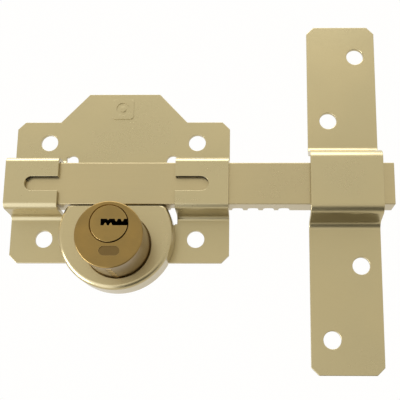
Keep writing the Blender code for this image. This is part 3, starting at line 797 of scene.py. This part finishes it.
def make_keeper():
    lower, upper = bridge_sections(
        KEEPER_BRIDGE_Z,
        KEEPER_TOP_MID_HALF,
        KEEPER_FOOT_MID_HALF,
        (-30.0, 30.0),
        KEEPER_RISE,
        KEEPER_TOP_RADIUS,
        KEEPER_FOOT_RADIUS,
        16,
    )
    lower, upper = lower[1:], upper[:-1]
    work = bmesh.new()
    strip(work, lower + upper, KEEPER_LEFT, KEEPER_RIGHT)
    cut = KEEPER_CUT
    for end, foot, up in ((KEEPER_TOP, upper[-1][0], 1), (KEEPER_BOTTOM, lower[0][0], -1)):
        leg = [
            (KEEPER_LEFT, foot),
            (KEEPER_RIGHT, foot),
            (KEEPER_RIGHT, end - up * cut),
            (KEEPER_RIGHT - cut, end),
            (KEEPER_LEFT + cut, end),
            (KEEPER_LEFT, end - up * cut),
        ]
        loops = [leg]
        for x, z in KEEPER_HOLES:
            if z * up > 0:
                loops.append(circle(x, z, FIXING_RADIUS))
        flat_part(work, loops, SHEET / 2)
    strap = thickened("keeper_strap_bent", work)
    shade(strap)
    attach(strap, "case")
    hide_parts("keeper_strap")
    strap.data.materials.append(lacquered_gold("keeper_lacquer", (0.1, 0.8, 0.5)))


def cup_outline(radius, top, corner, steps=88):
    rise = top - CUP_Z
    start = math.degrees(math.asin(rise / radius))
    points = arc(0, CUP_Z, radius, 180 - start, 360 + start, steps)
    points = [points[0]] + points[2:-2] + [points[-1]]
    radii = [corner] + [0] * (len(points) - 2) + [corner]
    return rounded(points, radii, 8, True)


def make_housing():
    levels = [(0.0, CUP_BACK)]
    for k in range(11):
        turn = math.radians(90) * k / 10
        inset = CUP_EDGE * (1 - math.cos(turn))
        levels.append((inset, CUP_FRONT - CUP_EDGE + CUP_EDGE * math.sin(turn)))
    rings = []
    for inset, h in levels:
        outline = cup_outline(CUP_RADIUS - inset, CUP_TOP - inset * TOP_SHARE, CUP_CORNER)
        rings.append([(x, -h, z) for x, z in outline])
    cup = loft("cylinder_housing_drawn", rings)
    inner = cup_outline(CUP_RADIUS - CUP_WALL, CUP_TOP - CUP_WALL, 0.8)
    combine(cup, outline_solid("cavity", [inner], CUP_BACK - 2, CUP_FRONT - CUP_WALL))
    seat = [(-40, CUP_SEAT_LOW), (40, CUP_SEAT_LOW), (40, 0), (-40, 0)]
    combine(cup, outline_solid("seat", [seat], -2, CUP_SEAT))
    near, wide = BODY_RADIUS + BODY_GAP, BODY_RADIUS + 0.9
    bore = [(0, 18), (wide, 18), (wide, CUP_FRONT + 0.2), (near, CUP_FRONT - 0.4), (near, 8), (0, 8)]
    combine(cup, turned("bore", bore, (AXIS_X, BODY_Z), 128))
    window = box_outline(AXIS_X, CUP_TOP - 1, WINDOW_PINION_HALF, 4)
    combine(cup, outline_solid("window", [window], -2.5, WINDOW_PINION_FRONT))
    pillars = [(x, z, CUP_SEAT + 0.2, POST_HOLE, POST_HOLE_TOP) for x, z in post_points()]
    pillars += [(x, z, PAD_LOW, PAD_HOLE, PAD_HOLE_TOP) for x, z in PAD_POINTS]
    for x, z, low, hole, hole_top in pillars:
        pillar = outline_solid("pillar", [circle(x, z, POST_RADIUS, 40)], low, PILLAR_TOP)
        combine(cup, pillar, "UNION")
        combine(cup, outline_solid("hole", [circle(x, z, hole, 24)], low - 2.2, hole_top))
    shade(cup, 28)
    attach(cup, "case")
    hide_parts("cylinder_housing")
    cup.data.materials.append(lacquered_gold("housing_lacquer", (0.6, 0.2, 0.9), (0.46, 0.375, 0.19)))


def corner_arc(radius, height, edge, steps=6):
    """Rounded front corner of a turned profile, from its face to its side."""
    points = []
    for k in range(steps + 1):
        turn = math.radians(90) * k / steps
        points.append((radius - edge + edge * math.sin(turn), height - edge + edge * math.cos(turn)))
    return points


def upright(name, radius, low, high, h):
    profile = [(0, high), (radius, high), (radius, low), (0, low)]
    return turned(name, profile, (AXIS_X, 0), 32, Matrix.Translation((0, -h * MM, 0)))


def make_cylinder_body():
    profile = [(0, BODY_FRONT)] + corner_arc(BODY_RADIUS, BODY_FRONT, BODY_EDGE)
    profile += [
        (BODY_RADIUS, FLANGE_TOP),
        (FLANGE_RADIUS, FLANGE_TOP),
        (FLANGE_RADIUS, BODY_BACK),
        (0, BODY_BACK),
    ]
    body = turned("cylinder_body_turned", profile, (AXIS_X, BODY_Z), 144)
    settle(body)
    bore = [
        (0, BODY_FRONT + 2),
        (PLUG_RADIUS + PLUG_GAP + BORE_LIP, BODY_FRONT + 2),
        (PLUG_RADIUS + PLUG_GAP + BORE_LIP, BODY_FRONT),
        (PLUG_RADIUS + PLUG_GAP, BODY_FRONT - BORE_LIP),
        (PLUG_RADIUS + PLUG_GAP, WEB_TOP),
        (NECK_RADIUS + BODY_GAP, WEB_TOP),
        (NECK_RADIUS + BODY_GAP, BODY_BACK - 2),
        (0, BODY_BACK - 2),
    ]
    combine(body, turned("bore", bore, (AXIS_X, PLUG_Z), 96))
    for h in PIN_HEIGHTS:
        combine(body, upright("chamber", CHAMBER_RADIUS, BODY_Z - BODY_RADIUS - 1, PLUG_Z - 6, h))
    middle = AXIS_X + MARK_X
    mark = arc(middle + MARK_REACH, MARK_Z, MARK_HALF, -90, 90, 20)
    mark += arc(middle - MARK_REACH, MARK_Z, MARK_HALF, 90, 270, 20)
    recess = outline_solid("mark", [mark], BODY_FRONT - MARK_DEPTH, BODY_FRONT + 1)
    recess.data.materials.append(satin_brass("mark_brass", (AXIS_X, BODY_Z), (0.155, 0.1, 0.032)))
    body.data.materials.append(satin_brass("body_brass", (AXIS_X, BODY_Z)))
    combine(body, recess)
    shade(body, 28)
    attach(body, "case")
    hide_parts("cylinder_body")


def ward(x, edge, up):
    """Tooth standing in the keyway, from its lower edge (up 1) or its upper edge (up -1)."""
    tip = edge + up * WARD_HEIGHT
    foot = up * WARD_HALF
    shoulder = up * WARD_TIP
    return [(x - foot, edge), (x - shoulder, tip), (x + shoulder, tip), (x + foot, edge)]


def keyway_outline():
    low, high, left, right = KEYWAY_LOW, KEYWAY_HIGH, KEYWAY_LEFT, PLUG_RADIUS + 2
    points = [(left, low)]
    for x in WARDS_BELOW:
        points += ward(x, low, 1)
    points += [(right, low), (right, high)]
    for x in WARDS_ABOVE:
        points += ward(x, high, -1)
    points += [(0.2, high), (0.0, high - 0.5), (-0.5, high - 0.5), (-0.7, high), (left, high)]
    return [(AXIS_X + x, PLUG_Z + z) for x, z in points]


def make_plug():
    profile = [
        (0, PLUG_FRONT),
        (PLUG_RADIUS - PLUG_LIP, PLUG_FRONT),
        (PLUG_RADIUS, PLUG_FRONT - PLUG_LIP),
        (PLUG_RADIUS, PLUG_BACK),
        (NECK_RADIUS, PLUG_BACK),
        (NECK_RADIUS, GROOVE_FRONT),
        (NECK_GROOVE, GROOVE_FRONT),
        (NECK_GROOVE, GROOVE_BACK),
        (NECK_RADIUS, GROOVE_BACK),
        (NECK_RADIUS, NECK_BACK),
        (0, NECK_BACK),
    ]
    plug = turned("cylinder_plug_turned", profile, (AXIS_X, PLUG_Z), 112)
    settle(plug)
    plug.data.materials.append(satin_brass("plug_brass", (AXIS_X, PLUG_Z), (0.26, 0.172, 0.052)))
    keyway = outline_solid("keyway", [keyway_outline()], KEYWAY_BACK, PLUG_FRONT + 2)
    # Painted shade: the keyway walls take the near-black material.
    keyway.data.materials.append(painted_recess_shade("keyway_shadow"))
    combine(plug, keyway)
    for h in PIN_HEIGHTS:
        combine(plug, upright("chamber", CHAMBER_RADIUS, PLUG_Z - PLUG_RADIUS - 1, PLUG_Z - 0.45, h))
    slot = box_outline(AXIS_X, PLUG_Z, TAIL_SLOT_HALF_WIDTH, TAIL_SLOT_HALF_HEIGHT)
    combine(plug, outline_solid("tail_slot", [slot], NECK_BACK - 2, TAIL_SLOT_FRONT))
    hole = circle(PLUG_Z, CROSS_HOLE_H, CROSS_HOLE_RADIUS, 24)
    cross = outline_solid("cross_hole", [hole], AXIS_X - 8, AXIS_X + 8, ALONG_X)
    combine(plug, cross)
    shade(plug, 28)
    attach(plug, "plug")
    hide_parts("cylinder_plug")


def finish_inner_nodes():
    """Give the CAD pieces that stay their own worked metal."""
    steel = plain_steel("zinc_steel")
    gear = plain_steel("pinion_steel", (0.36, 0.35, 0.34), (0.3, 0.5))
    screws = plain_steel("screw_steel", (0.5, 0.49, 0.46), (0.22, 0.4))
    pins = satin_brass("pin_brass_turned", (AXIS_X, PLUG_Z), (0.55, 0.4, 0.15))
    looks = {
        "retaining_plate": steel,
        "retaining_screw": screws,
        "housing_screw": screws,
        "drive_pinion": gear,
        "tail_bar": steel,
        "tail_pin": screws,
        "plug_clip": screws,
        "key_pin": pins,
        "chamber_cap": pins,
        "driver_pin": screws,
        "pin_spring": screws,
    }
    for name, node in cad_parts.items():
        for start, look in looks.items():
            if name.startswith(start):
                node.data.materials.clear()
                node.data.materials.append(look)


# ---------------------------------------------------------------- stage


def make_stage():
    mesh = bpy.data.meshes.new("floor")
    work = bmesh.new()
    bmesh.ops.create_grid(work, x_segments=1, y_segments=1, size=1.6)
    work.to_mesh(mesh)
    work.free()
    floor = add_object("studio_floor", mesh, Matrix.Translation((0.04, 0, cad_low.z - FLOOR_DROP)))
    floor.data.materials.append(pale_floor("studio_floor_paint"))
    floor.visible_glossy = False


def make_studio():
    """Soft room for the metal to reflect, seen by the camera itself as plain white.

    Its brightness depends on the direction: high above, high low down on the left,
    dark low down on the right. The brightest parts are the coolest.
    """
    world = bpy.data.worlds.new("studio")
    bpy.context.scene.world = world
    world.use_nodes = True
    tree = world.node_tree
    coords = tree.nodes.new("ShaderNodeTexCoord")
    split = tree.nodes.new("ShaderNodeSeparateXYZ")
    tree.links.new(coords.outputs["Generated"], split.inputs[0])

    def ramp(axis, low, high, to_low, to_high):
        """Smooth step along one component of the direction."""
        node = tree.nodes.new("ShaderNodeMapRange")
        node.interpolation_type = "SMOOTHSTEP"
        for name, value in zip(("From Min", "From Max", "To Min", "To Max"), (low, high, to_low, to_high)):
            node.inputs[name].default_value = value
        tree.links.new(split.outputs[axis], node.inputs["Value"])
        return node.outputs["Result"]

    def mix(factor, first, second):
        node = tree.nodes.new("ShaderNodeMix")
        for socket, value in zip(node.inputs, (factor, None, first, second)):
            if isinstance(value, float):
                socket.default_value = value
            elif value is not None:
                tree.links.new(value, socket)
        return node.outputs[0]

    upper = mix(ramp("Z", 0.4, 0.8, 0.0, 1.0), ramp("X", -0.4, 0.1, 1.0, 0.91), 1.5)
    lower = mix(ramp("X", -0.28, -0.03, 0.0, 1.0), 2.4, ramp("Z", -0.65, -0.25, 0.0, 0.92))
    front = ramp("Y", -0.35, 0.05, 1.0, 0.0)
    below = ramp("Z", -0.3, 0.1, 1.0, 0.0)
    product = tree.nodes.new("ShaderNodeMath")
    product.operation = "MULTIPLY"
    tree.links.new(front, product.inputs[0])
    tree.links.new(below, product.inputs[1])
    room = mix(product.outputs[0], upper, lower)
    path = tree.nodes.new("ShaderNodeLightPath")
    seen = mix(path.outputs["Is Camera Ray"], room, 1.0)
    colours = tree.nodes.new("ShaderNodeValToRGB")
    plain, bright = colours.color_ramp.elements
    plain.position = 0.5
    plain.color = (1.0, 0.995, 0.985, 1)
    bright.color = (0.9, 0.96, 1.15, 1)
    # The ramp runs from 0 to 1 and the brightness to about 2, so half of it is looked up
    halved = tree.nodes.new("ShaderNodeMath")
    halved.operation = "MULTIPLY"
    halved.inputs[1].default_value = 0.5
    tree.links.new(seen, halved.inputs[0])
    tree.links.new(halved.outputs[0], colours.inputs["Fac"])
    back = tree.nodes["Background"]
    tree.links.new(colours.outputs["Color"], back.inputs["Color"])
    tree.links.new(seen, back.inputs["Strength"])


def area_light(name, location, size, power):
    """Cool white soft box aimed at the middle of the lock."""
    data = bpy.data.lights.new(name, "AREA")
    data.shape = "RECTANGLE"
    data.size, data.size_y = size
    data.energy = power
    data.color = COOL_WHITE
    light = bpy.data.objects.new(name, data)
    COLLECTION.objects.link(light)
    light.location = location
    light.rotation_mode = "QUATERNION"
    centre = (cad_low + cad_high) / 2
    light.rotation_quaternion = (centre - Vector(location)).to_track_quat("-Z", "Y")


def make_lights():
    area_light("top_softbox", (-0.1, -0.35, 0.8), (0.9, 0.5), 5.0)
    area_light("left_softbox", (-0.75, -0.35, -0.4), (0.5, 0.6), 11.0)


def make_camera():
    data = bpy.data.cameras.new("camera")
    data.sensor_width = 36.0
    data.lens = 62.1
    data.shift_x = -0.1086
    data.shift_y = 0.160
    camera = bpy.data.objects.new("camera", data)
    COLLECTION.objects.link(camera)
    camera.location = (0.06555, -0.33168, -0.1042)
    pitch, yaw, roll = 0.1997, -0.0135, 0.004
    look = Vector((math.sin(yaw) * math.cos(pitch), math.cos(yaw) * math.cos(pitch), math.sin(pitch)))
    turn = look.to_track_quat("-Z", "Y").to_matrix().to_4x4() @ Matrix.Rotation(roll, 4, "Z")
    camera.rotation_mode = "QUATERNION"
    camera.rotation_quaternion = turn.to_quaternion()
    data.clip_start = 0.01
    bpy.context.scene.camera = camera
    bpy.context.scene.view_settings.view_transform = "Standard"


make_case_plate()
make_badge()
make_bolt()
make_keeper()
make_housing()
make_cylinder_body()
make_plug()
finish_inner_nodes()
make_stage()
make_studio()
make_lights()
make_camera()
